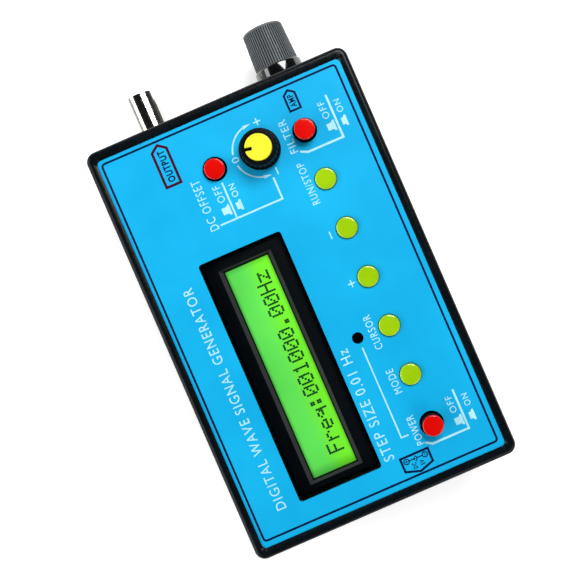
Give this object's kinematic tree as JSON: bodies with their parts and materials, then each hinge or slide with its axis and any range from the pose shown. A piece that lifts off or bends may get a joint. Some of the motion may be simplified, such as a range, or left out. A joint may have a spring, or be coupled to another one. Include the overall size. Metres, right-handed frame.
{
  "type": "function generator",
  "caption": "Handheld function generator in a plastic case, with a character display, keys, latching buttons, knobs, an output socket and a power socket.",
  "frame": {"origin": "centre of the flat back face, which the instrument rests on", "axes": "+Z out of the front panel, +Y towards the end with the output socket and the amplitude knob, +X to the right with that end at the top"},
  "size_m": [0.08, 0.1418, 0.0393],
  "materials": {
    "case_plastic": "fine moulded grain",
    "label": "printed film, satin",
    "screw_steel": "zinc plated",
    "circuit_board": "solder mask",
    "backlight": "milky",
    "display_glass": "lit yellow-green",
    "frame_metal": "black satin",
    "black_moulding": "moulded",
    "white_nylon": "natural",
    "can_metal": "satin",
    "capacitor_sleeve": "shrunk sleeve",
    "lamp": "clear tinted",
    "knob_black": "satin",
    "disc_yellow": "satin",
    "grip_grey": "soft ribbed",
    "skirt_black": "polished",
    "plated_metal": "nickel plated",
    "contact_gold": "plated",
    "key_lime": "moulded",
    "button_red": "moulded"
  },
  "bodies": {
    "case": {"back_shell": "case_plastic", "front_shell": "case_plastic", "front_label": "label", "case_screws": "screw_steel", "main_board": "circuit_board", "board_screws": "screw_steel", "display_board": "circuit_board", "display_backlight": "backlight", "display_glass": "display_glass", "display_frame": "frame_metal", "display_header": "black_moulding", "display_socket": "black_moulding", "display_standoffs": "white_nylon", "display_screws": "screw_steel", "microcontroller": "black_moulding", "waveform_chip": "black_moulding", "output_amplifiers": "black_moulding", "clock_oscillator": "can_metal", "voltage_regulator": "black_moulding", "electrolytic_capacitors": "capacitor_sleeve", "chip_resistors": "black_moulding", "indicator_lamp": "lamp", "lamp_spacer": "black_moulding", "key_switches": "black_moulding", "offset_switch": "white_nylon", "filter_switch": "white_nylon", "power_switch": "white_nylon", "offset_control": "can_metal", "amplitude_control": "can_metal", "amplitude_washer": "plated_metal", "amplitude_nut": "plated_metal", "output_socket_body": "black_moulding", "output_socket_barrel": "plated_metal", "output_socket_insulator": "white_nylon", "output_socket_contact": "contact_gold", "power_socket": "black_moulding", "power_socket_pin": "plated_metal", "power_socket_spring": "plated_metal"},
    "run_stop_key": {"run_stop_key": "key_lime", "run_stop_plunger": "black_moulding"},
    "minus_key": {"minus_key": "key_lime", "minus_plunger": "black_moulding"},
    "plus_key": {"plus_key": "key_lime", "plus_plunger": "black_moulding"},
    "cursor_key": {"cursor_key": "key_lime", "cursor_plunger": "black_moulding"},
    "mode_key": {"mode_key": "key_lime", "mode_plunger": "black_moulding"},
    "offset_button": {"offset_button": "button_red", "offset_stem": "white_nylon"},
    "filter_button": {"filter_button": "button_red", "filter_stem": "white_nylon"},
    "power_button": {"power_button": "button_red", "power_stem": "white_nylon"},
    "offset_knob": {"offset_knob": "knob_black", "offset_knob_disc": "disc_yellow", "offset_shaft": "white_nylon"},
    "amplitude_knob": {"amplitude_grip": "grip_grey", "amplitude_skirt": "skirt_black", "amplitude_shaft": "plated_metal"}
  },
  "joints": [
    {"name": "run_stop_press", "type": "slide", "parent": "case", "child": "run_stop_key", "axis": [0, 0, -1], "range_m": [0, 0.0003], "stiffness_N_per_m": 2000},
    {"name": "minus_press", "type": "slide", "parent": "case", "child": "minus_key", "axis": [0, 0, -1], "range_m": [0, 0.0003], "stiffness_N_per_m": 2000},
    {"name": "plus_press", "type": "slide", "parent": "case", "child": "plus_key", "axis": [0, 0, -1], "range_m": [0, 0.0003], "stiffness_N_per_m": 2000},
    {"name": "cursor_press", "type": "slide", "parent": "case", "child": "cursor_key", "axis": [0, 0, -1], "range_m": [0, 0.0003], "stiffness_N_per_m": 2000},
    {"name": "mode_press", "type": "slide", "parent": "case", "child": "mode_key", "axis": [0, 0, -1], "range_m": [0, 0.0003], "stiffness_N_per_m": 2000},
    {"name": "offset_press", "type": "slide", "parent": "case", "child": "offset_button", "axis": [0, 0, -1], "range_m": [-0.0021, 0.0006]},
    {"name": "filter_press", "type": "slide", "parent": "case", "child": "filter_button", "axis": [0, 0, -1], "range_m": [0, 0.0027], "stiffness_N_per_m": 300, "springref_m": -0.001},
    {"name": "power_press", "type": "slide", "parent": "case", "child": "power_button", "axis": [0, 0, -1], "range_m": [0, 0.0027], "stiffness_N_per_m": 300, "springref_m": -0.001},
    {"name": "offset_turn", "type": "hinge", "parent": "case", "child": "offset_knob", "pos_m": [0.0067, 0.0444, 0.036], "axis": [0, 0, 1], "range_deg": [-139, 161]},
    {"name": "amplitude_turn", "type": "hinge", "parent": "case", "child": "amplitude_knob", "pos_m": [0.0209, 0.07, 0.0156], "axis": [0, 1, 0], "range_deg": [-150, 150]}
  ]
}
